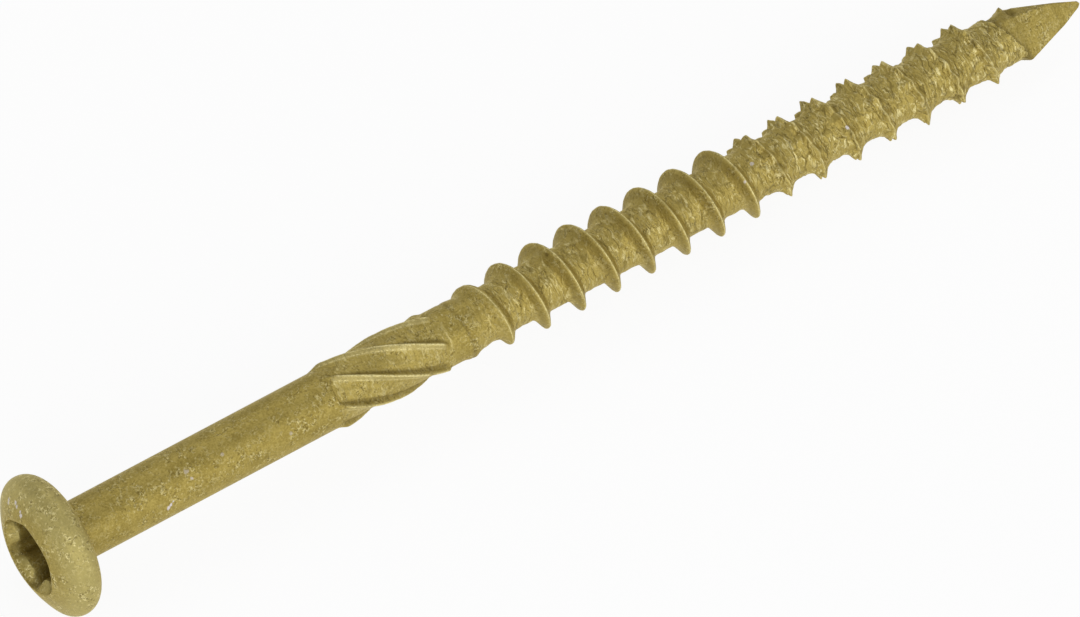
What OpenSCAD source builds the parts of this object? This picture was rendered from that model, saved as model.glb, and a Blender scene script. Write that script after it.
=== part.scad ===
// Facade screw: one cold-formed steel piece with a domed head, six-lobe drive,
// plain shank, ribbed reamer, coarse thread with a serrated front half and a pinched point.
// It lies on its side as it would come to rest. Units are millimetres.

/* [Overall] */
// Length from the bearing face under the head to the tip
length = 100; // [90:1:130]
// Diameter of the plain shank
shank_d = 5.06; // [4.8:0.02:5.3]
// Turn about its own axis at which the screw lies, degrees
rest_roll = 211.7; // [0:0.1:360]

/* [Head] */
// Diameter over the rounded rim
head_d = 12.5; // [11.5:0.1:13.5]
// Radius of the dome
dome_r = 10.2; // [9:0.1:14]
// Rounding of the rim above its widest ring
rim_top_r = 1.3; // [1:0.05:1.6]
// Rounding of the rim below its widest ring
rim_low_r = 1.42; // [1.2:0.02:1.7]
// Fillet between the bearing face and the shank
neck_fillet = 0.55; // [0.3:0.05:0.8]

/* [Drive] */
// Width of the recess across its lobes
drive_d = 6.75; // [6.3:0.05:7]
// Width of the recess between its ridges
drive_core_d = 4.85; // [4.6:0.05:5]
// Radius at the end of a lobe
lobe_r = 0.54; // [0.48:0.01:0.6]
// Height of the lobes' floor over the bearing face
drive_floor = 0.7; // [0.5:0.1:1.2]
// Depth of the cone below the lobes
drive_cone = 0.9; // [0.5:0.1:1.2]
// Turn of the first lobe, degrees
drive_turn = 18.4; // [0:0.1:60]
// Depth below the dome over which the ridges ease into the six-sided mouth
lead_in = 1; // [0.6:0.05:1.3]

/* [Reamer] */
// Where the ribs begin, from the bearing face
reamer_start = 25.4; // [20:0.1:27]
// Length of the ribs
reamer_len = 10.8; // [8:0.1:12]
// Diameter over the ribs
reamer_d = 5.68; // [5.5:0.02:6]
// Height of the ribs over the valleys between them
rib_depth = 0.47; // [0.3:0.01:0.6]
// Number of ribs
ribs = 6; // [4:1:7]
// Length along the axis in which a rib goes once round
rib_lead = 34.6; // [26:0.1:44]
// Turn of a rib where the ribs begin, degrees
rib_turn = -35; // [-180:1:180]

/* [Thread] */
// Diameter over the thread
thread_d = 6.9; // [6.6:0.05:7.3]
// Diameter of the core between the turns
core_d = 4.5; // [4.3:0.02:4.7]
// Length along the axis of one turn
pitch = 3.45; // [3.2:0.01:3.8]
// Where the thread begins, from the bearing face
thread_start = 37.64; // [37.2:0.01:40]
// Turns in which the thread grows to its full height
run_in = 2.75; // [2:0.05:3.5]
// Width of the rounded crest along the axis
crest_w = 0.3; // [0.2:0.01:0.5]
// Width of the ridge at its root along the axis
root_w = 1.6; // [1.4:0.05:2]

/* [Serration] */
// Length before the tip over which the crest is notched
serrated_len = 33; // [20:0.5:45]
// Teeth in one turn
teeth = 12; // [10:1:12]
// Turn of the first tooth, degrees
teeth_turn = 20; // [0:1:30]
// Diameter over the teeth
teeth_d = 6.66; // [6.3:0.02:6.8]
// Depth of the notches between the teeth
notch_depth = 0.45; // [0.3:0.05:0.6]

/* [Point] */
// Length of the pinched point
point_len = 6.6; // [5:0.1:8]
// Half width of the point on its straight side
point_up = 2.3; // [2:0.02:2.5]
// Half width of the point on its curved side
point_low = 2.58; // [2.2:0.02:2.8]
// Thickness of the point at its root
point_thick = 3.1; // [2.8:0.1:3.5]
// Turn of the point's flat faces, degrees
point_turn = 16; // [0:1:25]
// Width left at the tip
tip_w = 0.5; // [0.3:0.05:0.8]
// How far the tip sits off the axis
tip_off = 0.3; // [0:0.05:0.5]

/* [Hidden] */
$fn = 64;
coating = [0.66, 0.61, 0.33];
head_r = head_d / 2;
shank_r = shank_d / 2;
core_r = core_d / 2;
thread_r = thread_d / 2;
teeth_r = teeth_d / 2;
// the dome touches the rounding of the rim from outside
dome_a = head_r - rim_top_r;
dome_b = sqrt(pow(dome_r - rim_top_r, 2) - pow(dome_a, 2));
dome_y = rim_low_r - dome_b;
touch_x = dome_a * dome_r / (dome_r - rim_top_r);
touch_y = dome_y + dome_b * dome_r / (dome_r - rim_top_r);
head_h = dome_y + dome_r;
mouth_z = dome_y + sqrt(pow(dome_r, 2) - pow(drive_d / 2 * cos(30), 2));
// the ridges between the lobes meet the lobe ends smoothly
lobe_c = drive_d / 2 - lobe_r;
ridge_d = drive_core_d / 2;
ridge_r = (pow(lobe_r, 2) - pow(lobe_c, 2) - pow(ridge_d, 2) + 2 * lobe_c * ridge_d * cos(30))
  / (2 * (ridge_d - lobe_c * cos(30) - lobe_r)) + 0.01;
// reamer rings
reamer_end = reamer_start + reamer_len;
reamer_r = reamer_d / 2;
rib_place = [-0.12, -0.05, -0.015, 0.03, 0.1, 0.19, 0.29, 0.4, 0.56, 0.72];
rib_rise = [0, 0.5, 1, 0.98, 0.72, 0.36, 0.1, 0, 0, 0];
rib_steps = len(rib_place);
rib_rows = 18;
rib_n = ribs * rib_steps;
// neck between the ribs and the thread
neck_r = shank_r - 0.03;
neck_join = reamer_end + 0.4;
neck_end = thread_start + 0.7;
cone_end = neck_end + 2.3;
// thread grid, in columns of points that follow the helix and end on flat rings
seg = teeth * 4;
point_z = length - point_len;
body_start = reamer_end + 0.1;
body_end = point_z - 1.15;
end_slope = tan(28);
serrated_z = length - serrated_len;
run_out = 1.3 * pitch;
crest_h = crest_w / 2;
root_h = root_w / 2;
profile = [-root_h, -crest_h, 0, crest_h, root_h];
height = [0, 0.93, 1, 0.93, 0];
notched = [0, 1, 1, 1, 0];
J = len(profile);
turns = ceil((length - thread_start) / pitch);
// lying on the floor on the rim of the head and the teeth
touch_z = length - point_len - 1.775 * pitch;
touch_r = teeth_r * cos(8.3);
rest_tilt = atan((head_r - touch_r) / (touch_z + rim_low_r));
rest_h = (head_r - rim_low_r) * cos(rest_tilt) + rim_low_r * (1 - sin(rest_tilt));
rest_x = (length - head_h + 0.35) / 2 * cos(rest_tilt);

module head_profile() {
  square([head_r - rim_low_r, rim_low_r]);
  square([head_r - rim_top_r, rim_low_r + 0.01]);
  translate([head_r - rim_low_r, rim_low_r]) circle(rim_low_r);
  translate([head_r - rim_top_r, rim_low_r]) circle(rim_top_r);
  intersection() {
    translate([0, dome_y]) circle(dome_r);
    translate([0, rim_low_r - 0.3]) square([touch_x, head_h]);
  }
  translate([0, rim_low_r - 0.5]) square([touch_x - 0.001, touch_y - rim_low_r + 0.5]);
}

module head() {
  rotate_extrude() mirror([0, 1]) intersection() {
    head_profile();
    square([head_r + 1, head_h + 1]);
  }
}

module neck_ring() {
  rotate_extrude() difference() {
    translate([0, -0.5]) square([shank_r + neck_fillet, neck_fillet + 0.5]);
    translate([shank_r + neck_fillet, neck_fillet]) circle(neck_fillet);
  }
}

module recess_outline() {
  difference() {
    union() {
      circle(r = lobe_c, $fn = 6);
      for (i = [0:5]) rotate(i * 60) translate([lobe_c, 0]) circle(lobe_r);
    }
    for (i = [0:5]) rotate(i * 60 + 30) translate([ridge_d + ridge_r, 0]) circle(ridge_r);
  }
}

module recess() {
  rotate(drive_turn) translate([0, 0, -head_h - 1])
    linear_extrude(head_h + 1 - drive_floor) recess_outline();
  translate([0, 0, -drive_floor - 0.01])
    cylinder(h = drive_cone + 0.01, r1 = ridge_d - 0.05, r2 = 0.4);
  mouth_r = drive_d / 2;
  small_r = ridge_d / cos(30) - 0.02;
  rotate(drive_turn) translate([0, 0, lead_in - mouth_z]) mirror([0, 0, 1])
    cylinder(h = 2 * lead_in, r1 = small_r, r2 = 2 * mouth_r - small_r, $fn = 6);
}

module shank() {
  translate([0, 0, -0.5]) cylinder(h = reamer_start + 0.55, r = shank_r);
}

// each rib is steep on one side, sharp on top and slack on the other side
module reamer() {
  pts = [
    for (k = [0:rib_rows]) let (z = reamer_len * k / rib_rows)
      for (i = [0:rib_n - 1]) let (
        j = i % rib_steps,
        t = rib_turn + 360 * ((i - j) / rib_steps + rib_place[j]) / ribs + 360 * z / rib_lead,
        r = reamer_r - rib_depth * (1 - rib_rise[j])
      ) [r * cos(t), r * sin(t), reamer_start + z],
    [0, 0, reamer_start],
    [0, 0, reamer_end]
  ];
  n = rib_n * (rib_rows + 1);
  faces = [
    for (k = [0:rib_rows - 1]) for (i = [0:rib_n - 1]) let (
      a = k * rib_n + i,
      b = k * rib_n + (i + 1) % rib_n
    ) each [[a, a + rib_n, b + rib_n], [a, b + rib_n, b]],
    for (i = [0:rib_n - 1]) [n, i, (i + 1) % rib_n],
    for (i = [0:rib_n - 1]) let (m = rib_n * rib_rows) [n + 1, m + (i + 1) % rib_n, m + i]
  ];
  polyhedron(pts, faces);
}

module neck() {
  translate([0, 0, reamer_end - 0.5]) cylinder(h = neck_join - reamer_end + 0.5, r = shank_r);
}

// radius of the bare body, and of the crest after a number of turns
function base_radius(z) = z < neck_end ? neck_r
  : z < cone_end ? neck_r + (core_r - neck_r) * (z - neck_end) / (cone_end - neck_end)
  : core_r;
function grow(t) = t < 0 ? 0
  : t < run_in ? shank_r + (thread_r - shank_r) * (1 - pow(1 - t / run_in, 1.8))
  : thread_r;
function fade(z) = z > point_z - run_out ? max(0, (point_z - 0.6 - z) / run_out) : 1;
function is_tooth(z) = z > serrated_z;
function crest(t, z) = core_r + fade(z) * ((is_tooth(z) ? teeth_r : grow(t)) - core_r);
function notch(i, z) = is_tooth(z) ? [0, 0.5, 1, 0.5][i % 4] * notch_depth * fade(z) : 0;

// one column of the grid: index m counts points along the axis
function turn_of(m) = floor(m / J);
function turn_at(i) = teeth_turn + 360 * i / seg;
function crest_z(i, m) = thread_start + pitch * (turn_at(i) / 360 + turn_of(m));
function grid_z(i, m) = crest_z(i, m) + profile[m - J * turn_of(m)];
function grid_r(i, m) = let (
    j = m - J * turn_of(m),
    z = grid_z(i, m),
    c = crest_z(i, m),
    b = base_radius(z)
  ) b + height[j] * max(0, crest(turn_at(i) / 360 + turn_of(m), c) - b) - notched[j] * notch(i, c);
function end_z(i) = body_end + end_slope * core_r * sin(turn_at(i));
function at(r, i, z) = [r * cos(turn_at(i)), r * sin(turn_at(i)), z];

module thread() {
  in_col = [for (i = [0:seg - 1]) [
    for (m = [-3 * J:J * turns]) if (grid_z(i, m) > body_start + 0.06 && grid_z(i, m) < end_z(i) - 0.06) m
  ]];
  first = [for (c = in_col) c[0]];
  last = [for (c = in_col) c[len(c) - 1]];
  off = [for (i = 0, s = 0; i < seg; s = s + last[i] - first[i] + 3, i = i + 1) s];
  pts = [for (i = [0:seg - 1]) each [
    at(neck_r - 0.2, i, body_start),
    for (m = in_col[i]) at(grid_r(i, m), i, grid_z(i, m)),
    at(core_r, i, end_z(i))
  ]];
  function low(i) = off[i % seg];
  function top(i) = off[i % seg] + last[i % seg] - first[i % seg] + 2;
  function idx(i, m) = i < seg ? off[i] + 1 + m - first[i] : off[0] + 1 + m + J - first[0];
  function fst(i) = i < seg ? first[i] : first[0] - J;
  function lst(i) = i < seg ? last[i] : last[0] - J;
  faces = [
    for (i = [0:seg - 1]) each [
      for (m = [fst(i):1:min(lst(i), lst(i + 1)) - 1]) each [
        [idx(i, m), idx(i, m + 1), idx(i + 1, m + 1)],
        [idx(i, m), idx(i + 1, m + 1), idx(i + 1, m)]
      ],
      [low(i), idx(i, fst(i)), idx(i + 1, fst(i))],
      for (m = [fst(i + 1):1:fst(i) - 1]) [low(i), idx(i + 1, m + 1), idx(i + 1, m)],
      [low(i), idx(i + 1, fst(i + 1)), low(i + 1)],
      each lst(i) >= lst(i + 1) ? [
        [top(i + 1), idx(i + 1, lst(i + 1)), idx(i, lst(i + 1))],
        for (m = [lst(i + 1):1:lst(i) - 1]) [top(i + 1), idx(i, m), idx(i, m + 1)],
        [top(i + 1), idx(i, lst(i)), top(i)]
      ] : [
        [top(i), idx(i + 1, lst(i)), idx(i, lst(i))],
        for (m = [lst(i):1:lst(i + 1) - 1]) [top(i), idx(i + 1, m + 1), idx(i + 1, m)],
        [top(i), top(i + 1), idx(i + 1, lst(i + 1))]
      ]
    ],
    [for (i = [0:seg - 1]) low(i)],
    [for (i = [0:seg - 1]) top(seg - 1 - i)]
  ];
  polyhedron(pts, faces);
}

module point_outline() {
  polygon([
    [0, -3.4], [point_up * 0.86, -3.4], [point_up * 0.88, -0.8], [point_up, 0],
    [tip_w / 2 - tip_off, point_len - 0.15], [0.05 - tip_off, point_len],
    [-tip_off - 0.05, point_len], [-tip_off - tip_w / 2, point_len - 0.2],
    [-point_low * 0.82, point_len * 0.4], [-point_low * 0.97, point_len * 0.2],
    [-point_low, point_len * 0.06], [-point_low * 0.82, -0.2], [-point_low * 0.82, -3.4]
  ]);
}

// a long bar with the same half widths on both sides, listed as [half width, height]
module wedge(sides) {
  n = len(sides) - 1;
  rotate([90, 0, 0]) translate([0, 0, -5]) linear_extrude(10)
    polygon([for (s = sides) s, for (i = [0:n]) [-sides[n - i][0], sides[n - i][1]]]);
}

module point() {
  half = point_thick / 2;
  end = point_len + 0.01;
  translate([0, 0, point_z]) intersection() {
    rotate([90, 0, 90]) mirror([1, 0]) translate([0, 0, -5]) linear_extrude(10) point_outline();
    rotate(point_turn)
      wedge([[half, -3.5], [half, -1], [0.81 * half, 0], [0.68 * half, 0.6], [0.17, end]]);
    rotate(-52) wedge([[half + 0.7, -3.5], [half + 0.7, -1], [0.5, end]]);
    rotate_extrude() polygon([
      [0, -3.5], [core_r - 0.08, -3.5], [core_r - 0.08, -0.5], [point_low + 1, 0.7],
      [point_low + 1, point_len + 0.1], [0, point_len + 0.1]
    ]);
  }
}

module facade_screw() {
  color(coating)
  translate([-rest_x, 0, rest_h])
  rotate([0, 90 + rest_tilt, 0])
  rotate(rest_roll)
  difference() {
    union() {
      head();
      neck_ring();
      shank();
      reamer();
      neck();
      thread();
      point();
    }
    recess();
  }
}

facade_screw();
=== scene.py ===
import math

import bmesh
import bpy
from bpy.props import FloatProperty, FloatVectorProperty, IntProperty, PointerProperty
from mathutils import Matrix, Vector, noise


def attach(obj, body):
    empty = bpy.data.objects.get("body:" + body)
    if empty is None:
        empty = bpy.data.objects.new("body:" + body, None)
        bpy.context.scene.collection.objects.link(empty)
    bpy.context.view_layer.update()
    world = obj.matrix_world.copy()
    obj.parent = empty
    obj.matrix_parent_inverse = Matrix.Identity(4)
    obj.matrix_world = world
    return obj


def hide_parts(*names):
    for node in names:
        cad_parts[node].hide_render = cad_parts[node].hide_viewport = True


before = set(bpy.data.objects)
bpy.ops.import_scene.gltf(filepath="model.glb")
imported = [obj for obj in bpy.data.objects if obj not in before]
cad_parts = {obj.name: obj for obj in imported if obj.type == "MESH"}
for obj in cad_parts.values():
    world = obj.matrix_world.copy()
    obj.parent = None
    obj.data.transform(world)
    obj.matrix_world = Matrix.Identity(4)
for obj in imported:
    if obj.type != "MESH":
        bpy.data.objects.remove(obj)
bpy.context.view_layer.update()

bl_info = {
    "name": "Facade Screw",
    "version": (1, 0, 0),
    "blender": (4, 5, 0),
    "location": "View3D > Sidebar > Screw",
    "description": "Builds a coated facade screw and the pale stage it lies on",
    "category": "Add Mesh",
}

MM = 0.001
TURN = 2 * math.pi

# How finely the forms are cut
BODY_STEPS = 168
THREAD_STEPS = 144
POINT_STEPS = 120
POINT_ROWS = 76


# Property helpers

def length_prop(name, text, millimetres):
    """A length that the sidebar shows in scene units."""
    return FloatProperty(
        name=name, description=text, default=millimetres * MM, unit="LENGTH", precision=5,
    )


def angle_prop(name, text, degrees):
    """A turn that the sidebar shows in degrees."""
    return FloatProperty(name=name, description=text, default=math.radians(degrees), unit="ROTATION")


def share_prop(name, text, value):
    """A number between nothing and full."""
    return FloatProperty(name=name, description=text, default=value, min=0.0, max=1.0, subtype="FACTOR")


def colour_prop(name, text, colour):
    """A linear colour."""
    return FloatVectorProperty(
        name=name, description=text, default=colour, size=3, min=0, max=1, subtype="COLOR",
    )


def number_prop(name, text, value):
    """A plain number."""
    return FloatProperty(name=name, description=text, default=value)


def power_prop(name, text, watts):
    """The power of a lamp."""
    return FloatProperty(name=name, description=text, default=watts, unit="POWER")


class ScrewSizes(bpy.types.PropertyGroup):
    """Sizes of the screw, nearly all as in its solid model."""

    length: length_prop("Length", "From the bearing face to the tip", 100)
    shank_d: length_prop("Shank", "Diameter of the plain shank", 5.06)
    head_d: length_prop("Head", "Diameter over the rounded rim", 12.5)
    dome_r: length_prop("Dome radius", "Radius of the dome", 10.2)
    rim_top_r: length_prop("Upper rim", "Rounding above the widest ring", 1.3)
    rim_low_r: length_prop("Lower rim", "Rounding below the widest ring", 1.42)
    neck_fillet: length_prop("Neck fillet", "Between bearing face and shank", 0.55)
    drive_d: length_prop("Drive width", "Recess across its lobes", 6.75)
    drive_core_d: length_prop("Drive core", "Recess between its ridges", 4.85)
    lobe_r: length_prop("Lobe end", "Radius at the end of a lobe", 0.54)
    mouth_r: length_prop("Mouth rounding", "Rounded edge where the recess meets the dome", 0.09)
    lead_in: length_prop("Lead-in", "Depth over which the ridges slope off to the mouth", 0.8)
    drive_floor: length_prop("Drive floor", "Height of the lobes' floor over the bearing face", 0.7)
    drive_cone: length_prop("Drive cone", "Depth of the cone below the lobes", 0.9)
    drive_turn: angle_prop("Drive turn", "Turn of the first lobe", 18.4)
    reamer_start: length_prop("Ribs begin", "From the bearing face", 25.4)
    reamer_len: length_prop("Rib length", "Length of the ribs along the axis", 10.8)
    reamer_d: length_prop("Rib width", "Diameter over the ribs", 5.68)
    rib_depth: length_prop("Rib height", "Height of the ribs over the valleys", 0.47)
    ribs: IntProperty(name="Ribs", description="Number of ribs", default=6, min=3, max=8)
    rib_lead: length_prop("Rib lead", "Length in which a rib goes once round", 34.6)
    rib_turn: angle_prop("Rib turn", "Turn of a rib where the ribs begin", -35)
    thread_d: length_prop("Thread", "Diameter over the thread", 6.9)
    core_d: length_prop("Core", "Diameter between the turns", 4.5)
    pitch: length_prop("Pitch", "Length of one turn", 3.45)
    thread_start: length_prop("Thread begins", "From the bearing face", 37.64)
    run_in: number_prop("Run-in", "Turns until the thread has its height", 2.75)
    serrated_len: length_prop("Serrated length", "Before the tip", 33)
    teeth: IntProperty(name="Teeth", description="Teeth in one turn", default=12, min=6, max=14)
    teeth_d: length_prop("Teeth width", "Diameter over the teeth", 6.66)
    teeth_turn: angle_prop("Teeth turn", "Turn of the first tooth", 20)
    notch_depth: length_prop("Notch depth", "Depth between the teeth", 0.48)
    point_len: length_prop("Point length", "Length of the pinched point", 6.6)
    point_up: length_prop("Point straight side", "Half width on the straight side", 2.3)
    point_low: length_prop("Point curved side", "Half width on the curved side", 2.58)
    point_thick: length_prop("Point thickness", "Thickness at the root of the point", 3.1)
    point_turn: angle_prop("Point turn", "Turn of the point's flat faces", 16)
    tip_w: length_prop("Tip width", "Width left at the tip", 0.5)
    tip_off: length_prop("Tip offset", "How far the tip sits off the axis", 0.3)
    burr: length_prop("Burr", "Roughness of the serrated part", 0.11)
    rest_tilt: angle_prop("Lying tilt", "Dip of the axis towards the tip", 1.90808)
    rest_roll: angle_prop("Lying roll", "Turn about its own axis", 211.7)
    rest_x: length_prop("Bearing face place", "From the middle to the bearing face", 48.0366)
    rest_h: length_prop("Axis height", "Height of the axis at the bearing face", 6.2000)


class CoatingLook(bpy.types.PropertyGroup):
    """Colours and finish of the coating."""

    gold: colour_prop("Gold", "Main colour of the coating", (0.45, 0.35, 0.095))
    shade: colour_prop("Shade", "Darker mottle of the coating", (0.30, 0.225, 0.05))
    # Also the colour of the painted highlights and glints along crests and folds.
    fleck: colour_prop("Fleck", "Pale glints in the coating", (0.84, 0.74, 0.36))
    # Also the colour of the painted shade.
    pit: colour_prop("Pit", "Dark specks and cracks in the coating", (0.11, 0.075, 0.014))
    # Colour of the painted sheen laid over the head, most at its rim.
    pale: colour_prop("Pale", "Coating on the head, which came out paler", (0.55, 0.49, 0.21))
    chip: colour_prop("Chip", "Bare zinc where the coating is scraped", (0.74, 0.69, 0.70))
    glow: colour_prop("Glow", "Colour of slanting reflections", (0.95, 0.86, 0.5))
    metal: share_prop("Metal", "How metallic the coating looks", 0.5)
    roughness: share_prop("Roughness", "Mean roughness", 0.44)


class StageLook(bpy.types.PropertyGroup):
    """Floor and light of the stage."""

    floor: colour_prop("Floor", "Colour of the floor", (0.95, 0.95, 0.95))
    white: share_prop("White", "How much of the seen floor is plain white instead of lit", 0.92)
    key: power_prop("Key light", "Low soft light from the front", 2.45)
    fill: power_prop("Fill light", "Soft light before the head", 2.3)
    back: power_prop("Back light", "Soft light from behind", 0.9)
    sky: number_prop("Sky", "Even light from all round", 0.46)


# Small helpers

def ease(a, b, x):
    """0 up to a, 1 from b, and an even curve between."""
    t = min(max((x - a) / (b - a), 0.0), 1.0)
    return t * t * (3 - 2 * t)


def mix(a, b, t):
    """Part way from a to b."""
    return a + (b - a) * t


def along(points, x):
    """Height at x of a line through (x, height) points."""
    for (x0, y0), (x1, y1) in zip(points, points[1:]):
        if x <= x1:
            return mix(y0, y1, min(max((x - x0) / (x1 - x0), 0.0), 1.0))
    return points[-1][1]


def hump(x, middle, half):
    """A smooth bump of height 1 that is gone at twice its half width."""
    return ease(2 * half, 0, abs(x - middle))


def ripple(turn, r, z, size, stretch=1.0):
    """Smooth noise between -1 and 1 on a round surface; stretch makes its bumps long round the axis."""
    wide = size * stretch
    return noise.noise(Vector((r * math.cos(turn) / wide, r * math.sin(turn) / wide, z / size)))


class Form:
    """The sizes in millimetres, and the radii that follow from them."""

    def __init__(self, sizes):
        plain = ("ribs", "teeth", "run_in")
        for name in ScrewSizes.__annotations__:
            value = getattr(sizes, name)
            keep = name in plain or name.endswith(("_turn", "_tilt", "_roll"))
            setattr(self, name, value if keep else value / MM)
        self.head_r = self.head_d / 2
        self.shank_r = self.shank_d / 2
        self.core_r = self.core_d / 2
        self.thread_r = self.thread_d / 2
        self.teeth_r = self.teeth_d / 2
        self.neck_r = self.shank_r - 0.03
        self.reamer_end = self.reamer_start + self.reamer_len
        self.neck_end = self.thread_start + 0.7
        self.cone_end = self.neck_end + 2.3
        self.join_z = self.reamer_end + 0.3
        self.point_z = self.length - self.point_len
        self.serrated_z = self.length - self.serrated_len
        # the dome touches the rounding of the rim from outside
        reach = self.dome_r - self.rim_top_r
        self.dome_a = self.head_r - self.rim_top_r
        self.dome_b = math.sqrt(reach ** 2 - self.dome_a ** 2)
        self.dome_z = self.dome_b - self.rim_low_r
        self.touch_r = self.dome_a * self.dome_r / reach
        self.mouth_ring = self.drive_d / 2 + 0.05
        # the ridges between the lobes run smoothly into the lobe ends
        self.lobe_c = self.drive_d / 2 - self.lobe_r
        self.ridge_d = self.drive_core_d / 2
        slant = math.cos(math.radians(30))
        square = self.lobe_r ** 2 - self.lobe_c ** 2 - self.ridge_d ** 2
        over = square + 2 * self.lobe_c * self.ridge_d * slant
        self.ridge_r = over / (2 * (self.ridge_d - self.lobe_c * slant - self.lobe_r))
        self.ridge_c = self.ridge_d + self.ridge_r
        cx, cy = self.ridge_c * slant, self.ridge_c * 0.5
        share = self.lobe_r / (self.lobe_r + self.ridge_r)
        self.lobe_end = math.atan2(cy * share, mix(self.lobe_c, cx, share))

    def dome(self, r):
        """Height of the dome at a radius; the head is on the negative side."""
        return self.dome_z - math.sqrt(self.dome_r ** 2 - r ** 2)

    def lobes(self, turn):
        """Radius of the recess at a turn."""
        a = abs((turn - self.drive_turn + math.pi / 6) % (math.pi / 3) - math.pi / 6)
        if a < self.lobe_end:
            c, r = self.lobe_c, self.lobe_r
            return c * math.cos(a) + math.sqrt(max(r * r - (c * math.sin(a)) ** 2, 0.0))
        b, c, r = math.pi / 6 - a, self.ridge_c, self.ridge_r
        return c * math.cos(b) - math.sqrt(max(r * r - (c * math.sin(b)) ** 2, 0.0))

    def mouth(self, turn, deep):
        """Radius of the recess at a depth below the dome; its ridges slope off to the round mouth."""
        lobe = self.lobes(turn)
        share = max(1 - deep / self.lead_in, 0.0) ** 1.1
        return lobe + max(self.mouth_ring - lobe, 0.0) * share

    def rib_phase(self, turn, z):
        """Place across a rib in shares of their spacing, 0 on its crest."""
        wind = turn - self.rib_turn - TURN * (z - self.reamer_start) / self.rib_lead
        return (wind * self.ribs / TURN + 0.5) % 1.0 - 0.5

    def base(self, z):
        """Radius of the body below the thread."""
        return along([(self.neck_end, self.neck_r), (self.cone_end, self.core_r)], z)

    def crest(self, turns, z):
        """Radius of the crest after a number of turns."""
        if z > self.serrated_z:
            top = self.teeth_r
        elif turns < self.run_in:
            top = mix(self.shank_r, self.thread_r, 1 - (1 - max(turns, 0) / self.run_in) ** 1.8)
        else:
            top = self.thread_r
        fade = min(max((self.point_z - 0.6 - z) / (0.9 * self.pitch), 0.0), 1.0)
        return mix(self.core_r, top, fade) if turns > 0 else 0.0


# Head, shank and ribs, spun in one piece

RIB = [
    (-0.13, 0), (-0.085, 0.2), (-0.045, 0.72), (-0.018, 0.97), (0.02, 1.0),
    (0.06, 0.88), (0.12, 0.62), (0.2, 0.31), (0.3, 0.09), (0.4, 0),
]


def body_rows(f):
    """The rows of the lathe profile from the bottom of the recess to the neck: kind, radius, height."""
    rows = []
    bottom = f.drive_cone - f.drive_floor
    floor = -f.drive_floor
    rows.append(("plain", 0.0, bottom))
    for r in (0.2, 0.4, 0.8, 1.2, 1.6, 2.0):
        rows.append(("plain", r, mix(bottom, floor, ease(0.3, 2.2, r) ** 0.7)))
    rows += [("lobe", -0.16, floor - 0.01), ("lobe", -0.05, floor - 0.04), ("lobe", 0.0, floor - 0.14)]
    rows += [("wall", 0.03 * k / 12, 1 - (1 - k / 12) ** 1.5) for k in range(1, 13)]
    for k in range(7):
        a = math.pi / 2 * k / 6
        rows.append(("mouth", 0.03 + f.mouth_r * (1 - math.cos(a)), f.mouth_r * (1 - math.sin(a))))
    first = f.mouth_ring + f.mouth_r + 0.1
    rows += [("dome", ease(0, 4, k), mix(first, f.touch_r, k / 12)) for k in range(1, 13)]
    start = math.atan2(f.dome_b, f.dome_a)
    for k in range(1, 9):
        a = mix(start, 0, k / 8)
        r = f.dome_a + f.rim_top_r * math.cos(a)
        rows.append(("plain", r, -f.rim_low_r - f.rim_top_r * math.sin(a)))
    for k in range(1, 10):
        a = math.pi / 2 * k / 9
        ring = f.head_r - f.rim_low_r
        rows.append(("plain", ring + f.rim_low_r * math.cos(a), -f.rim_low_r * (1 - math.sin(a))))
    rows += [("plain", r, 0.0) for r in (4.4, 3.8, 3.35)]
    for k in range(7):
        a = math.pi / 2 * k / 6
        corner = f.shank_r + f.neck_fillet
        rows.append(("plain", corner - f.neck_fillet * math.sin(a), f.neck_fillet * (1 - math.cos(a))))
    span = f.reamer_start - 0.8 - f.neck_fillet
    rows += [("plain", f.shank_r, f.neck_fillet + span * k / 8) for k in range(1, 9)]
    steps = (-0.6, -0.4, -0.25, -0.12, -0.03, 0.04, 0.11, 0.2)
    rows += [("rib", 0.0, f.reamer_start + step) for step in steps]
    span = f.join_z - f.reamer_start - 0.2
    rows += [("rib", 0.0, f.reamer_start + 0.2 + span * k / 84) for k in range(1, 85)]
    return rows


def rib_radius(f, turn, z):
    """Radius over the ribs, and how much of a crest is there."""
    a = f.rib_phase(turn, z)
    rise = along(RIB, a)
    full = f.reamer_d / 2 - f.rib_depth * (1 - rise)
    fray = ripple(turn, 2.8, 4.0, 1.1)
    untwist = turn - TURN * (z - f.reamer_start) / f.rib_lead
    worn_and_lit = 0.03 * ripple(untwist, 2.8, z * 0.12, 0.26) + 0.04 * rise * ripple(turn, 2.8, z, 0.7)
    start = f.reamer_start + 0.12 * fray
    if full < f.shank_r:
        on = ease(start - 0.03, start + 0.12, z)
    else:
        on = ease(start - 0.5, start + 0.9, z)
    off = ease(f.reamer_end - 0.55 + 0.3 * fray, f.reamer_end + 0.1 + 0.15 * fray, z)
    foot = mix(f.shank_r, f.neck_r, off)
    share = on * (1 - off)
    return mix(foot, full + worn_and_lit, share), rise * share


def body_place(f, row, turn):
    """Radius and height of a point of the body, and how much painted highlight and rubbing its rib
    crest gets.
    """
    kind, a, b = row
    if kind == "plain":
        return a, b, 0.0
    if kind == "lobe":
        return f.lobes(turn) + a, b, 0.0
    if kind == "wall":
        top = f.dome(f.mouth(turn, 0.0)) + f.mouth_r
        z = mix(-f.drive_floor - 0.14, top, b)
        return f.mouth(turn, z - top + f.mouth_r) + a, z, 0.0
    if kind == "mouth":
        r = f.mouth(turn, b) + a
        return r, f.dome(r) + b, 0.0
    if kind == "dome":
        r = mix(f.mouth(turn, 0.0) + f.mouth_r + 0.1, b, a) if a < 1 else b
        return r, f.dome(r), 0.0
    r, crest = rib_radius(f, turn, b)
    return r, b, max(crest - 0.55, 0.0) / 0.45


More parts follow.
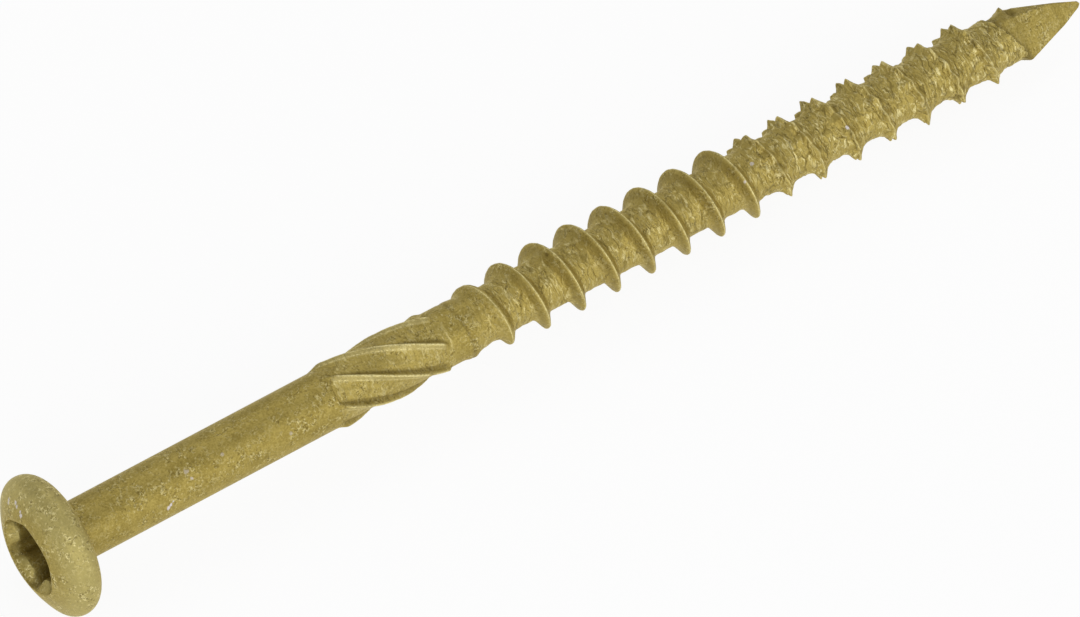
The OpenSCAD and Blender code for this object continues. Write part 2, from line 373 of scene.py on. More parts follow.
def spin_line(bm, places, steps, rise=0.0):
    """Spins a line of loose points once round the axis."""
    edges = [bm.edges.new(pair) for pair in zip(places, places[1:])]
    bmesh.ops.spin(
        bm, geom=places + edges, cent=(0, 0, 0), axis=(0, 0, 1), dvec=(0, 0, rise / steps),
        angle=TURN, steps=steps, use_merge=rise == 0.0, use_duplicate=False,
    )


def in_recess(row, f):
    """Whether a row lies on the wall or the floor of the recess."""
    kind, r = row[:2]
    return kind in ("wall", "lobe") or kind == "plain" and r < f.ridge_d


def rib_marks(f, turn, z, worn_and_lit):
    """Painted highlight and painted shade of the ribs: lighter beside each crest, darker along its
    steep side.
    """
    inside = ease(f.reamer_start, f.reamer_start + 0.6, z)
    inside *= ease(f.reamer_end, f.reamer_end - 0.8, z)
    phase = f.rib_phase(turn, z)
    pale = max(0.8 * hump(phase, 0.1, 0.08), 0.95 * hump(phase, 0.15, 0.035))
    dark = max(hump(phase, -0.125, 0.065), 0.45 * hump(phase, 0.085, 0.028))
    return max(worn_and_lit, inside * pale), inside * dark


def spin_body(bm, f):
    """Spins the profile round the axis, then pushes lobes, dome and ribs into shape."""
    mark = bm.verts.layers.float["mark"]
    wear = bm.verts.layers.float["wear"]
    work = bm.verts.layers.float["work"]
    dirt = bm.verts.layers.float["dirt"]
    rows = body_rows(f)
    line = []
    for k in range(len(rows)):
        v = bm.verts.new((4.0, 0.0, k * 0.05))
        v[mark] = k
        line.append(v)
    spin_line(bm, line, BODY_STEPS)
    for v in bm.verts:
        turn = math.atan2(v.co.y, v.co.x)
        row = rows[round(v[mark])]
        r, z, worn_and_lit = body_place(f, row, turn)
        v.co = (r * math.cos(turn), r * math.sin(turn), z)
        v[wear] = worn_and_lit
        v[work] = 0.4 if row[0] == "rib" and z > f.reamer_start else 0.0
        # Ribs get a painted highlight beside each crest and painted shade along their steep sides.
        if row[0] == "rib":
            v[wear], v[dirt] = rib_marks(f, turn, z, worn_and_lit)
        elif in_recess(row, f):
            # Painted shade: the recess gets darker with depth.
            v[dirt] = 0.85 * ease(0.75, 1.5, z - f.dome(f.drive_d / 2))
    bmesh.ops.remove_doubles(bm, verts=bm.verts, dist=1e-5)


# Thread

# Depths of the cracks, and of the groove where the thread begins
CRACK_DEPTH = 0.07
GROOVE_DEPTH = 0.05

# Where the core ends over the point: before the point, its slant, and how far its tongue reaches
STEP_BACK = 1.05
STEP_SLANT = math.radians(22)
STEP_TONGUE = 0.35

# Half profiles of the ridge: distance from the crest, share of the height
RIDGE = [
    (0, 1), (0.06, 0.99), (0.12, 0.95), (0.18, 0.86), (0.3, 0.68),
    (0.46, 0.43), (0.62, 0.2), (0.74, 0.07), (0.9, 0),
]
BAND = [
    (0, 1), (0.18, 1), (0.3, 0.92), (0.46, 0.62), (0.62, 0.34), (0.74, 0.18), (0.9, 0.06), (1.1, 0),
]
FLARE = [
    (0, 1), (0.06, 0.97), (0.12, 0.9), (0.18, 0.81), (0.3, 0.65), (0.46, 0.47),
    (0.62, 0.33), (0.74, 0.25), (0.9, 0.16), (1.1, 0.08), (1.3, 0.03), (1.6, 0),
]


def thread_place(f, turn, turns, offset, z):
    """Radius and height at a place on the helix, how near its crest is, and how worked it looks, which
    also paints the valleys lighter than the flanks.
    """
    base = f.base(z)
    mid = z - offset
    far = abs(offset)
    top = max(f.crest(turns, mid) - base, 0.0)
    toothed = ease(f.serrated_z - 0.6, f.serrated_z + 0.6, z)
    rise = mix(along(RIDGE, far), along(FLARE, far), 0.7 * toothed)
    rise = mix(along(BAND, far), rise, ease(0.6, 1.7, turns))
    r = base + rise * top - 0.05 * toothed
    rough = mix(0.45, 1.0, toothed) * ease(f.neck_end, f.cone_end, z)
    if mid > f.serrated_z:
        place = (turns - f.teeth_turn / TURN) * f.teeth
        tooth = abs((place + 0.5) % 1.0 - 0.5) * 2
        lot = noise.cell(Vector((math.floor(place + 0.5) * 1.7, 0.5, 0.5)))
        deep = ease(0.8, 0.2, far) * min(top / 0.8, 1)
        r -= deep * (f.notch_depth * tooth + 0.14 * lot * (1 - tooth))
        z += 0.2 * (lot - 0.5) * rise * (1 - tooth)
    valley = (1 - rise) * rough
    r += f.burr * valley * (ripple(turn, r, z, 0.6, 1.8) + 0.6 * ripple(turn, r, z, 0.26, 1.6))
    crack = max(1 - abs(ripple(turn, 2.4, z + 7, 0.75, 2.2)) / 0.1, 0.0)
    r -= CRACK_DEPTH * crack * toothed * ease(0.1, 0.5, far)
    r += 0.6 * f.burr * rise * rough * ripple(turn, r, z, 0.4) * min(top, 1)
    edge = max(1 - far / 0.2, 0.0) * min(top / 0.4, 1) * mix(1, 0.92, toothed)
    # High in the valleys, low on the flanks: it drives the texture left by the rolling and paints the
    # valleys lighter than the flanks.
    rolled_and_lit = mix(mix(0.8, 0.1, min(rise * 2, 1)), 1.0, toothed) * ease(f.neck_end, f.cone_end, z)
    return r, z, edge, rolled_and_lit


def cut_off(bm, place, face):
    """Cuts away what lies beyond a plane."""
    geom = bm.verts[:] + bm.edges[:] + bm.faces[:]
    bmesh.ops.bisect_plane(
        bm, geom=geom, dist=1e-6, plane_co=place, plane_no=face, clear_outer=True,
    )


def wind_thread(bm, f):
    """Winds one turn of the ridge with a rising spin, repeats it and shapes its crest."""
    mark = bm.verts.layers.float["mark"]
    wear = bm.verts.layers.float["wear"]
    work = bm.verts.layers.float["work"]
    dirt = bm.verts.layers.float["dirt"]
    half = f.pitch / 2
    side = [x for x, h in FLARE[1:-1]] + [1.51, half]
    line = []
    start = f.thread_start - 2 * f.pitch
    for x in [-x for x in reversed(side)] + [0.0] + side:
        v = bm.verts.new((f.core_r, 0.0, start + x))
        v[mark] = x
        line.append(v)
    spin_line(bm, line, THREAD_STEPS, f.pitch)
    first = bm.verts[:] + bm.edges[:] + bm.faces[:]
    count = math.ceil((f.length - start) / f.pitch)
    for k in range(1, count):
        copy = bmesh.ops.duplicate(bm, geom=first)["geom"]
        verts = [e for e in copy if isinstance(e, bmesh.types.BMVert)]
        bmesh.ops.translate(bm, verts=verts, vec=(0, 0, k * f.pitch))
    bmesh.ops.remove_doubles(bm, verts=bm.verts, dist=0.01)
    for v in bm.verts:
        turn = math.atan2(v.co.y, v.co.x)
        turns = (v.co.z - v[mark] - f.thread_start) / f.pitch
        r, z, v[wear], v[work] = thread_place(f, turn, turns, v[mark], v.co.z)
        plain = ease(f.serrated_z, f.serrated_z - 2, z)
        groove = hump(z, f.thread_start + 0.46 + 0.25 * math.sin(turn), 0.13)
        # Painted shade on the head-side flank of the plain thread and in the groove where the thread
        # begins.
        v[dirt] = max(0.6 * plain * ease(0.9, 2.2, turns) * hump(v[mark], -0.36, 0.11), 0.7 * groove)
        r -= GROOVE_DEPTH * groove
        v.co = (r * math.cos(turn), r * math.sin(turn), z)
    cut_off(bm, (0, 0, f.join_z + 0.15), (0, 0, -1))
    face = (0, -math.sin(STEP_SLANT), math.cos(STEP_SLANT))
    cut_off(bm, (0, 0, f.point_z - STEP_BACK), face)
    fray_end(bm, f)


def fray_end(bm, f):
    """Frays the rim where the thread's core ends over the pinched point."""
    wear = bm.verts.layers.float["wear"]
    for v in bm.verts:
        if not v.is_boundary or v.co.z < f.serrated_z:
            continue
        turn = math.atan2(v.co.y, v.co.x)
        ragged = 0.22 * ripple(turn, 2.2, 1.0, 0.6) + 0.12 * ripple(turn, 2.2, 5.0, 0.22)
        v.co.z += STEP_TONGUE * max(math.sin(turn), 0) + ragged
        # Painted highlight and rubbing along the frayed rim.
        v[wear] = 0.75


# Point

BEVEL_TURN = math.radians(-52)
POINT_LAP = 2.4


def point_section(f, z):
    """Planes that bound the point at a height: direction and distance from the axis."""
    p = z - f.point_z
    up = along([
        (-POINT_LAP, f.point_up * 0.86), (-0.8, f.point_up * 0.88), (0, f.point_up),
        (f.point_len - 0.15, f.tip_w / 2 - f.tip_off), (f.point_len, 0.05 - f.tip_off),
    ], p)
    low = along([
        (-0.2, f.point_low * 0.82), (f.point_len * 0.06, f.point_low),
        (f.point_len * 0.2, f.point_low * 0.97), (f.point_len * 0.4, f.point_low * 0.82),
        (f.point_len - 0.2, f.tip_off + f.tip_w / 2), (f.point_len, f.tip_off + 0.05),
    ], p)
    planes = [(-math.pi / 2, up), (math.pi / 2, low)]
    half = f.point_thick / 2
    flat = along([(-1, half), (0, 0.81 * half), (0.6, 0.68 * half), (f.point_len, 0.17)], p)
    bevel = along([(-1, half + 0.7), (f.point_len, 0.5)], p)
    for turn, d in ((f.point_turn, flat), (BEVEL_TURN, bevel)):
        planes += [(turn, d), (turn + math.pi, d)]
    limit = along([(-0.5, f.core_r - 0.08), (0.7, f.point_low + 1)], p)
    return planes, (low - up) / 2, limit


def spin_point(bm, f):
    """Spins a plain tube and presses its sides flat into the pinched point."""
    mark = bm.verts.layers.float["mark"]
    work = bm.verts.layers.float["work"]
    dirt = bm.verts.layers.float["dirt"]
    start = f.point_z - POINT_LAP
    heights = [mix(start, f.length, k / POINT_ROWS) for k in range(POINT_ROWS + 1)]
    line = []
    for k, z in enumerate(heights):
        v = bm.verts.new((2.0, 0.0, z))
        v[mark] = k
        line.append(v)
    spin_line(bm, line, POINT_STEPS)
    sections = [point_section(f, z) for z in heights]
    for v in bm.verts:
        turn = math.atan2(v.co.y, v.co.x)
        planes, mid, limit = sections[round(v[mark])]
        faces = [(math.cos(turn - a), d - mid * math.sin(a)) for a, d in planes]
        r, side = min((d / c, k) for k, (c, d) in enumerate(faces) if c > 0.05)
        r = max(r, 0.0)
        x, y = r * math.cos(turn), mid + r * math.sin(turn)
        pull = min(limit / math.hypot(x, y), 1.0)
        gully = hump(v.co.z, f.point_z + 0.42, 0.26) * hump(turn, math.radians(-66), 0.26)
        spur = hump(v.co.z, f.point_z - 0.1, 0.2) * hump(turn, math.radians(-80), 0.22)
        pull *= 1 - 0.17 * gully + 0.1 * spur - 0.006 * ripple(turn, 2, v.co.z, 0.5)
        v.co.x, v.co.y = x * pull, y * pull
        step = f.point_z - STEP_BACK + math.tan(STEP_SLANT) * v.co.y
        step += STEP_TONGUE * max(math.sin(turn), 0)
        # Painted shade in the crease by the core's step, in the gully and on the bevel faces.
        bevel_shade = 0.32 if side > 3 else 0.0
        v[dirt] = min(ease(step + 0.75, step + 0.1, v.co.z) + gully + bevel_shade, 1.0)
        v[work] = 0.12
    for ring in (0, POINT_ROWS):
        loop = [e for e in bm.edges if all(round(v[mark]) == ring for v in e.verts)]
        bmesh.ops.edgeloop_fill(bm, edges=loop)


def fresh_mesh():
    """An empty mesh with the layers that the forms use."""
    bm = bmesh.new()
    for name in ("mark", "wear", "work", "dirt"):
        bm.verts.layers.float.new(name)
    return bm


def take_in(bm, other):
    """Moves the faces of one mesh into another."""
    part = bpy.data.meshes.new("part")
    other.to_mesh(part)
    other.free()
    bm.from_mesh(part)
    bpy.data.meshes.remove(part)


def open_rims(bm):
    """The edges on open borders."""
    return [e for e in bm.edges if e.is_boundary]


def make_object(name, bm):
    """A mesh object of that name in the scene."""
    mesh = bpy.data.meshes.new(name)
    bm.to_mesh(mesh)
    bm.free()
    obj = bpy.data.objects.new(name, mesh)
    bpy.context.scene.collection.objects.link(obj)
    return obj


def lying(f):
    """From the screw's own axis to the way it lies, in metres."""
    turn = Matrix.Rotation(math.pi / 2 + f.rest_tilt, 4, "Y") @ Matrix.Rotation(f.rest_roll, 4, "Z")
    return Matrix.Translation((-f.rest_x * MM, 0, f.rest_h * MM)) @ turn @ Matrix.Scale(MM, 4)


def build_screw(sizes):
    """The whole screw as one mesh."""
    f = Form(sizes)
    bm = fresh_mesh()
    spin_body(bm, f)
    thread = fresh_mesh()
    wind_thread(thread, f)
    take_in(bm, thread)
    rings = [e for e in open_rims(bm) if all(v.co.z < f.thread_start for v in e.verts)]
    bmesh.ops.bridge_loops(bm, edges=rings)
    bmesh.ops.edgeloop_fill(bm, edges=open_rims(bm))
    point = fresh_mesh()
    spin_point(point, f)
    take_in(bm, point)
    bmesh.ops.recalc_face_normals(bm, faces=bm.faces)
    for face in bm.faces:
        face.smooth = True
    for edge in bm.edges:
        if len(edge.link_faces) == 2 and edge.calc_face_angle() > math.radians(40):
            edge.smooth = False
    bmesh.ops.transform(bm, matrix=lying(f), verts=bm.verts)
    bm.verts.layers.float.remove(bm.verts.layers.float["mark"])
    return make_object("screw", bm)


# Coating

# Marks on the coating: turn in degrees, radius, height, size in millimetres, strength
CHIPS = [
    (-83, 4.66, -3.1, 0.17, 0.8), (-82, 4.88, -2.99, 0.18, 0.8),
    (-66, 4.75, -3.05, 0.19, 0.8), (-63, 4.5, -3.18, 0.18, 0.8),
    (-55, 4.28, -3.28, 0.17, 0.8), (-52.5, 4.06, -3.38, 0.2, 0.8),
    (37, 2.53, 8.9, 0.11, 0.9), (41, 2.53, 8.65, 0.16, 0.9), (46, 2.53, 8.4, 0.19, 0.9),
    (-2.6, 2.53, 10.9, 0.24, 0.35), (13, 2.53, 11.1, 0.16, 0.5), (0.8, 2.53, 14.35, 0.18, 0.3),
    (26, 2.53, 20.5, 0.18, 0.3),
    (7, 3.35, 65.2, 0.16, 0.6), (-17, 2.25, 67.0, 0.18, 0.6), (7.8, 2.87, 75.6, 0.2, 0.9),
]
STAINS = [
    (-39.6, 3.1, 47.3, 0.22, 0.6), (-10, 2.53, 6.4, 0.14, 0.5),
    (22, 2.53, 15.8, 0.12, 0.5), (-30, 2.4, 57.0, 0.2, 0.4),
]


def node(tree, kind, **inputs):
    """A node with some of its sockets set by name; spaces are written as underscores."""
    made = tree.nodes.new(kind)
    for name, value in inputs.items():
        feed(tree, made.inputs[name.replace("_", " ")], value)
    return made


def feed(tree, socket, value):
    """Links a socket or sets its value."""
    if isinstance(value, bpy.types.NodeSocket):
        tree.links.new(value, socket)
    else:
        socket.default_value = value


def calc(tree, kind, *values):
    """A sum, product or other plain calculation."""
    made = tree.nodes.new("ShaderNodeMath")
    made.operation = kind
    for socket, value in zip(made.inputs, values):
        feed(tree, socket, value)
    return made.outputs["Value"]


def remap(tree, value, a, b, low=0.0, high=1.0):
    """Low up to a, high from b, and a smooth step between."""
    made = node(tree, "ShaderNodeMapRange", Value=value)
    made.interpolation_type = "SMOOTHSTEP"
    for name, number in (("From Min", a), ("From Max", b), ("To Min", low), ("To Max", high)):
        made.inputs[name].default_value = number
    return made.outputs["Result"]


def blend(tree, share, a, b):
    """A colour part way from a to b."""
    made = tree.nodes.new("ShaderNodeMix")
    made.data_type = "RGBA"
    for name, value in (("Factor", share), ("A", a), ("B", b)):
        ready = isinstance(value, (float, bpy.types.NodeSocket))
        feed(tree, made.inputs[name], value if ready else (*value, 1))
    return made.outputs["Result"]


def grain(tree, place, scale, detail=2.0, rough=0.5):
    """Plain noise with bumps of about one over the scale, in millimetres."""
    made = node(tree, "ShaderNodeTexNoise", Vector=place, Scale=scale, Detail=detail, Roughness=rough)
    return made.outputs["Fac"]


def tint(tree, colour, mask, share, over):
    """A colour with a share of another laid over it where a mask is."""
    return blend(tree, calc(tree, "MULTIPLY", mask, share), colour, over)


def stirred(tree, place, scale, detail, amount):
    """A place pushed about by noise, so that patterns on it bend."""
    swirl = node(tree, "ShaderNodeTexNoise", Vector=place, Scale=scale, Detail=detail)
    made = tree.nodes.new("ShaderNodeVectorMath")
    made.operation = "MULTIPLY_ADD"
    tree.links.new(swirl.outputs["Color"], made.inputs[0])
    made.inputs[1].default_value = (amount, amount, amount)
    tree.links.new(place, made.inputs[2])
    return made.outputs["Vector"]


def new_group(name, inputs, outputs):
    """An empty node group with float or vector inputs and float or colour outputs."""
    tree = bpy.data.node_groups.new(name, "ShaderNodeTree")
    for label, kind in inputs:
        tree.interface.new_socket(label, in_out="INPUT", socket_type="NodeSocket" + kind)
    for label, kind in outputs:
        tree.interface.new_socket(label, in_out="OUTPUT", socket_type="NodeSocket" + kind)
    return tree, tree.nodes.new("NodeGroupInput"), tree.nodes.new("NodeGroupOutput")


def spots(tree, place, scale, share, small, wide):
    """Small round spots on a share of the cells of a scattered pattern."""
    cells = node(tree, "ShaderNodeTexVoronoi", Vector=place, Scale=scale)
    pick = node(tree, "ShaderNodeSeparateColor", Color=cells.outputs["Color"]).outputs["Red"]
    dot = remap(tree, cells.outputs["Distance"], wide, small)
    return calc(tree, "MULTIPLY", dot, remap(tree, pick, 1.02 - share, 0.98 - share, 1.0, 0.0))


def speckle_group():
    """Mottle, grain, pale flecks and dark pits of the coating, and the height of its fine bumps."""
    names = ("Mottle", "Grain", "Fleck", "Pit", "Height")
    outputs = [(name, "Float") for name in names]
    tree, start, end = new_group("Speckle", [("Place", "Vector"), ("Work", "Float")], outputs)
    place, work = start.outputs["Place"], start.outputs["Work"]
    mottle = grain(tree, place, 0.75, 3.0, 0.6)
    fine = grain(tree, place, 5.6, 3.0, 0.75)
    coarse = grain(tree, place, 2.6, 2.0, 0.6)
    patch = remap(tree, grain(tree, place, 0.5, 2.0), 0.36, 0.62, 0.25, 1.0)
    bent = stirred(tree, place, 4.0, 2.0, 0.35)
    broken = remap(tree, grain(tree, place, 1.6, 2.0), 0.46, 0.56)
    worms = []
    for scale, wide in ((1.9, 0.055), (2.3, 0.04)):
        gap = calc(tree, "ABSOLUTE", calc(tree, "SUBTRACT", grain(tree, bent, scale, 1.5, 0.6), 0.5))
        worms.append(calc(tree, "MULTIPLY", remap(tree, gap, wide, 0.01), broken))
    dots = calc(tree, "MULTIPLY", spots(tree, bent, 3.0, 0.3, 0.1, 0.4), 0.8)
    calm = calc(tree, "MULTIPLY", patch, remap(tree, work, 0.0, 0.5, 1.0, 0.5))
    fleck = calc(tree, "MULTIPLY", calc(tree, "MAXIMUM", dots, worms[0]), calm)
    dots = spots(tree, bent, 2.6, 0.35, 0.08, 0.32)
    pit = calc(tree, "MULTIPLY", calc(tree, "MAXIMUM", dots, worms[1]), patch)
    bumps = calc(tree, "MULTIPLY_ADD", coarse, calc(tree, "MULTIPLY_ADD", work, 1.5, 0.2), fine)
    height = calc(tree, "MULTIPLY_ADD", pit, -0.4, calc(tree, "MULTIPLY_ADD", fleck, 0.3, bumps))
    for name, value in zip(names, (mottle, fine, fleck, pit, height)):
        tree.links.new(value, end.inputs[name])
    return tree


def crumple_group():
    """Cracks, painted glints along the folds, and their height, where the rolling worked the thread,
    long round the axis.
    """
    names = ("Crack", "Fold", "Height")
    outputs = [(name, "Float") for name in names]
    tree, start, end = new_group("Crumple", [("Place", "Vector"), ("Work", "Float")], outputs)
    drift = stirred(tree, start.outputs["Place"], 1.3, 3.0, 0.55)
    long = node(tree, "ShaderNodeMapping", Vector=drift, Scale=(0.34, 0.34, 1.25))
    cells = node(tree, "ShaderNodeTexVoronoi", Vector=long.outputs["Vector"], Scale=1.0)
    cells.feature = "DISTANCE_TO_EDGE"
    gap = cells.outputs["Distance"]
    broken = remap(tree, grain(tree, start.outputs["Place"], 0.9, 2.0), 0.42, 0.56)
    crack = calc(tree, "MULTIPLY", remap(tree, gap, 0.07, 0.015), broken)
    crease = []
    for scale in (1.5, 3.1):
        wave = grain(tree, long.outputs["Vector"], scale, 1.0, 0.5)
        crease.append(calc(tree, "ABSOLUTE", calc(tree, "SUBTRACT", wave, 0.5)))
    # Painted glints: pale patches and lines along the folds.
    glint = remap(tree, grain(tree, long.outputs["Vector"], 2.6, 3.0, 0.7), 0.56, 0.66)
    fold_glint = calc(tree, "MAXIMUM", remap(tree, crease[0], 0.02, 0.005, 0.0, 0.5), glint)
    folds = calc(tree, "MULTIPLY_ADD", crease[1], -5.0, calc(tree, "MULTIPLY", crease[0], -10.0))
    height = calc(tree, "MULTIPLY_ADD", remap(tree, gap, 0.0, 0.12), 0.7, folds)
    for name, value in zip(names, (crack, fold_glint, height)):
        tree.links.new(calc(tree, "MULTIPLY", value, start.outputs["Work"]), end.inputs[name])
    return tree


def chip_group():
    """Scraped and stained places: how bare and how dark they are."""
    outputs = [("Bare", "Float"), ("Stain", "Float")]
    tree, start, end = new_group("Chips", [("Place", "Vector")], outputs)
    rim = calc(tree, "SUBTRACT", grain(tree, start.outputs["Place"], 5.0, 2.0), 0.5)
    rim = calc(tree, "MULTIPLY", rim, 1.6)
    for name, marks in (("Bare", CHIPS), ("Stain", STAINS)):
        total = 0.0
        for turn, r, z, size, strength in marks:
            a = math.radians(turn)
            gap = node(tree, "ShaderNodeVectorMath")
            gap.operation = "DISTANCE"
            tree.links.new(start.outputs["Place"], gap.inputs[0])
            gap.inputs[1].default_value = (r * math.cos(a), r * math.sin(a), z)
            near = calc(tree, "MULTIPLY_ADD", rim, size, gap.outputs["Value"])
            mark = remap(tree, near, size * 1.15, size * 0.6, 0.0, strength)
            total = calc(tree, "MAXIMUM", total, mark)
        tree.links.new(total, end.inputs[name])
    return tree


def use_group(tree, group, place, work=None):
    """Places a node group and gives its outputs."""
    made = tree.nodes.new("ShaderNodeGroup")
    made.node_tree = group
    tree.links.new(place, made.inputs["Place"])
    if work is not None:
        tree.links.new(work, made.inputs["Work"])
    return made.outputs


# How strongly each kind of mark colours the coating, painted glints, shade and highlights among them
PIT_SHARE = 0.62
FOLD_GLINT_SHARE = 0.9
CRACK_SHARE = 0.5
PAINTED_SHADE_SHARE = 0.55
SHEEN_BAND_SHARE = 0.26
LIT_LINE_SHARE = 0.9


def screw_place(tree, f):
    """Places in millimetres along the screw's own axis."""
    spot, turned, scale = lying(f).decompose()
    place = node(tree, "ShaderNodeTexCoord").outputs["Object"]
    own = node(tree, "ShaderNodeMapping", Vector=place)
    own.vector_type = "TEXTURE"
    own.inputs["Location"].default_value = spot
    own.inputs["Rotation"].default_value = turned.to_euler()
    own.inputs["Scale"].default_value = scale
    return own.outputs["Vector"]


def read_masks(tree):
    """The layers of the mesh by name."""
    masks = {}
    for name in ("wear", "work", "dirt"):
        made = tree.nodes.new("ShaderNodeAttribute")
        made.attribute_name = name
        masks[name] = made.outputs["Fac"]
    return masks


def coat_colour(tree, look, place, masks, part, torn):
    """Mottled gold with a painted sheen on the head, flecks, pits, painted glints on the folds, cracks,
    painted shade, and painted highlights with some rubbing along the crests.
    """
    centred = calc(tree, "SUBTRACT", part["Grain"], 0.5)
    tone = calc(tree, "MULTIPLY_ADD", calc(tree, "SUBTRACT", part["Mottle"], 0.5), 0.5, centred)
    # Lighter where worked; on the thread this is painted light too, valleys lighter than flanks.
    tone = calc(tree, "MULTIPLY_ADD", masks["work"], 0.25, tone)
    colour = blend(tree, remap(tree, tone, -0.17, 0.17), look.shade, look.gold)
    # Painted sheen: the head is blended towards a pale colour, most at its rim and least in the painted
    # shade of the recess; the head also gets more flecks.
    z = node(tree, "ShaderNodeSeparateXYZ", Vector=place).outputs["Z"]
    head = remap(tree, z, 0.6, -1.2, 0.0, 0.45)
    bright = calc(tree, "MULTIPLY", head, remap(tree, z, -3.7, -2.5, 0.1, 1.0))
    bright = calc(tree, "MULTIPLY", bright, remap(tree, masks["dirt"], 0.4, 0.0))
    colour = blend(tree, bright, colour, look.pale)
    flecked = remap(tree, z, 0.6, -1.2, 0.6, 0.9)
    colour = tint(tree, colour, part["Fleck"], flecked, look.fleck)
    colour = tint(tree, colour, part["Pit"], PIT_SHARE, look.pit)
    # Painted glints on the folds.
    colour = tint(tree, colour, torn["Fold"], FOLD_GLINT_SHARE, look.fleck)
    colour = tint(tree, colour, torn["Crack"], CRACK_SHARE, look.pit)
    # Painted shade wherever the mesh layer marks it.
    colour = tint(tree, colour, masks["dirt"], PAINTED_SHADE_SHARE, look.pit)
    # Painted highlight with some rubbing: a pale band beside the crests, and broken pale lines along
    # them.
    colour = blend(tree, remap(tree, masks["wear"], 0.25, 0.95, 0.0, SHEEN_BAND_SHARE), colour, look.fleck)
    line = calc(tree, "MULTIPLY_ADD", centred, 0.7, masks["wear"])
    worn_and_lit = calc(tree, "MULTIPLY", remap(tree, line, 0.82, 1.0), remap(tree, part["Mottle"], 0.38, 0.48))
    return tint(tree, colour, worn_and_lit, LIT_LINE_SHARE, look.fleck)


def coating(look, f):
    """The gold-olive coating, laid out along the screw's own axis."""
    mat = bpy.data.materials.new("gold_coating")
    mat.use_nodes = True
    tree = mat.node_tree
    shader = tree.nodes["Principled BSDF"]
    place = screw_place(tree, f)
    masks = read_masks(tree)
    part = use_group(tree, speckle_group(), place, masks["work"])
    torn = use_group(tree, crumple_group(), place, masks["work"])
    chips = use_group(tree, chip_group(), place)
    colour = coat_colour(tree, look, place, masks, part, torn)
    colour = blend(tree, chips["Stain"], colour, look.pit)
    colour = blend(tree, chips["Bare"], colour, look.chip)
    tree.links.new(colour, shader.inputs["Base Color"])
    shader.inputs["Metallic"].default_value = look.metal
    shader.inputs["Specular IOR Level"].default_value = 0.3
    shader.inputs["Specular Tint"].default_value = (*look.glow, 1)
    uneven = calc(tree, "SUBTRACT", part["Mottle"], 0.5)
    rough = calc(tree, "MULTIPLY_ADD", uneven, 0.3, look.roughness)
    tree.links.new(rough, shader.inputs["Roughness"])
    height = calc(tree, "ADD", part["Height"], torn["Height"])
    bump = node(tree, "ShaderNodeBump", Strength=0.8, Distance=0.00005, Height=height)
    tree.links.new(bump.outputs["Normal"], shader.inputs["Normal"])
    return mat


class SCREW_OT_build(bpy.types.Operator):
    """Build the screw with its coating"""

    bl_idname = "screw.build"
    bl_label = "Screw"

    def execute(self, context):
        obj = build_screw(context.scene.screw_sizes)
        obj.data.materials.append(coating(context.scene.screw_coating, Form(context.scene.screw_sizes)))
        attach(obj, "root")
        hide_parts("facade_screw")
        return {"FINISHED"}


# Stage

ELEVATION = math.radians(53.445)
HEADING = math.radians(55.329)
LENS = 850.0
FRAME_W = 86.893 * MM
AIM_RIGHT = 38.208 * MM
AIM_UP = 18.437 * MM

# Place and size of each lamp
LAMPS = {
    "key": ((0.20, -0.70, 0.32), 0.8),
    "fill": ((-0.58, -0.50, 0.28), 0.7),
    "back": ((0.27, 0.45, 0.66), 0.4),
}


def sight():
    """The camera's forward, right and up directions."""
    level = math.cos(ELEVATION)
    forward = Vector((level * math.cos(HEADING), level * math.sin(HEADING), -math.sin(ELEVATION)))
    right = Vector((math.sin(HEADING), -math.cos(HEADING), 0))
    return forward, right, right.cross(forward)


def add_camera(f):
    """A long lens that sees the screw from above its head."""
    forward, right, up = sight()
    data = bpy.data.cameras.new("camera")
    data.lens = LENS
    data.sensor_width = 36.0
    aim = Vector((-f.rest_x, 0, f.rest_h)) * MM + right * AIM_RIGHT + up * AIM_UP
    far = FRAME_W * LENS / data.sensor_width
    cam = bpy.data.objects.new("camera", data)
    cam.location = aim - forward * far
    cam.rotation_euler = forward.to_track_quat("-Z", "Y").to_euler()
    data.clip_start, data.clip_end = 0.01, 20.0
    bpy.context.scene.collection.objects.link(cam)
    bpy.context.scene.camera = cam


def add_lamp(name, place, size, power):
    """A square soft lamp that looks at the middle of the screw."""
    data = bpy.data.lights.new(name, "AREA")
    data.shape = "SQUARE"
    data.size = size
    data.energy = power
    lamp = bpy.data.objects.new(name, data)
    lamp.location = place
    lamp.rotation_euler = (-Vector(place)).to_track_quat("-Z", "Y").to_euler()
    bpy.context.scene.collection.objects.link(lamp)


def seen_directly(tree):
    """1 where the camera, a reflection or glass looks, 0 for other light."""
    path = tree.nodes.new("ShaderNodeLightPath").outputs
    mirrored = calc(tree, "MAXIMUM", path["Is Glossy Ray"], path["Is Transmission Ray"])
    return calc(tree, "MAXIMUM", path["Is Camera Ray"], mirrored)


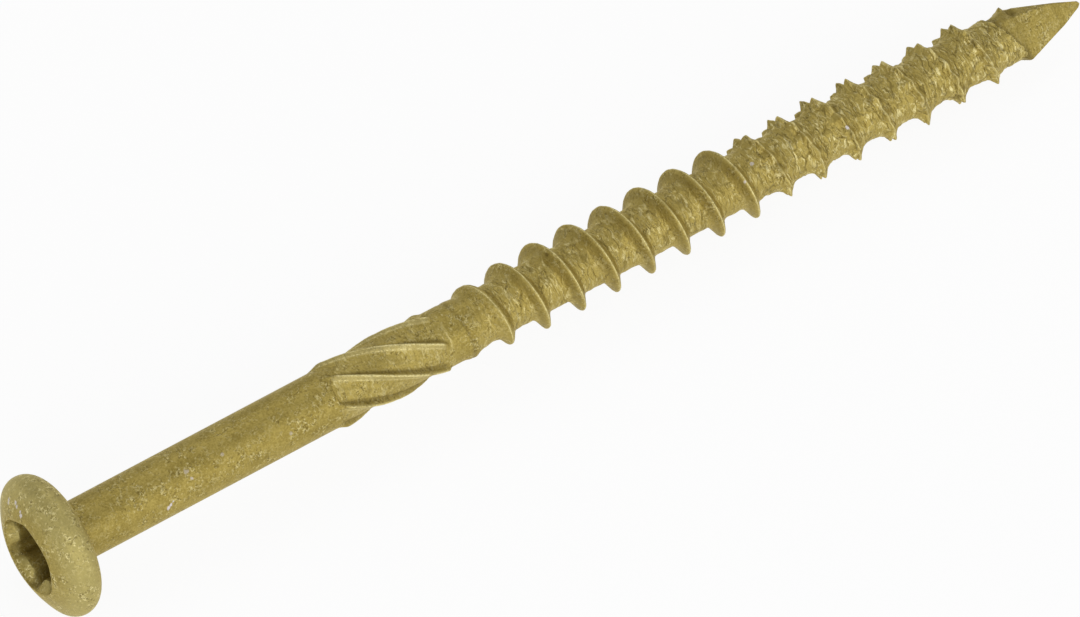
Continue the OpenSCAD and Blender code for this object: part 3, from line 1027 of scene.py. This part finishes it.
def add_floor(look):
    """A pale floor, lit in part to keep the shadow and otherwise plain white where it is seen."""
    bm = bmesh.new()
    bmesh.ops.create_grid(bm, x_segments=1, y_segments=1, size=4.0)
    floor = make_object("floor", bm)
    mat = bpy.data.materials.new("pale_floor")
    mat.use_nodes = True
    tree = mat.node_tree
    shader = tree.nodes["Principled BSDF"]
    shader.inputs["Base Color"].default_value = (*look.floor, 1)
    shader.inputs["Roughness"].default_value = 0.9
    shader.inputs["Specular IOR Level"].default_value = 0.0
    white = node(tree, "ShaderNodeEmission", Color=(1, 1, 1, 1), Strength=1.0)
    share = calc(tree, "MULTIPLY", seen_directly(tree), look.white)
    both = node(tree, "ShaderNodeMixShader", Fac=share)
    tree.links.new(shader.outputs["BSDF"], both.inputs[1])
    tree.links.new(white.outputs["Emission"], both.inputs[2])
    tree.links.new(both.outputs["Shader"], tree.nodes["Material Output"].inputs["Surface"])
    floor.data.materials.append(mat)


def add_sky(look):
    """Even light from all round."""
    world = bpy.data.worlds.new("sky")
    world.use_nodes = True
    back = world.node_tree.nodes["Background"]
    back.inputs["Color"].default_value = (1, 1, 1, 1)
    back.inputs["Strength"].default_value = look.sky
    bpy.context.scene.world = world


class SCREW_OT_stage(bpy.types.Operator):
    """Set up the floor, the light and the camera"""

    bl_idname = "screw.stage"
    bl_label = "Stage"

    def execute(self, context):
        look = context.scene.screw_stage
        context.scene.view_settings.view_transform = "Standard"
        add_floor(look)
        add_sky(look)
        for name, (place, size) in LAMPS.items():
            add_lamp(name, place, size, getattr(look, name))
        add_camera(Form(context.scene.screw_sizes))
        return {"FINISHED"}


class SCREW_PT_panel(bpy.types.Panel):
    """Sizes, coating and stage of the screw"""

    bl_label = "Facade Screw"
    bl_space_type = "VIEW_3D"
    bl_region_type = "UI"
    bl_category = "Screw"

    def draw(self, context):
        layout = self.layout
        for kind in (SCREW_OT_build, SCREW_OT_stage):
            layout.operator(kind.bl_idname)
        for group in GROUPS:
            box = layout.box()
            for name in GROUPS[group].__annotations__:
                box.prop(getattr(context.scene, group), name)


GROUPS = {"screw_sizes": ScrewSizes, "screw_coating": CoatingLook, "screw_stage": StageLook}
CLASSES = (*GROUPS.values(), SCREW_OT_build, SCREW_OT_stage, SCREW_PT_panel)


def register():
    """Add the classes and the settings that the scene holds."""
    for kind in CLASSES:
        bpy.utils.register_class(kind)
    for name, kind in GROUPS.items():
        setattr(bpy.types.Scene, name, PointerProperty(type=kind))


def unregister():
    """Take them out again."""
    for name in GROUPS:
        delattr(bpy.types.Scene, name)
    for kind in reversed(CLASSES):
        bpy.utils.unregister_class(kind)


def main():
    """Build everything."""
    register()
    bpy.ops.screw.build()
    bpy.ops.screw.stage()
    bpy.context.view_layer.update()


if __name__ == "__main__":
    main()
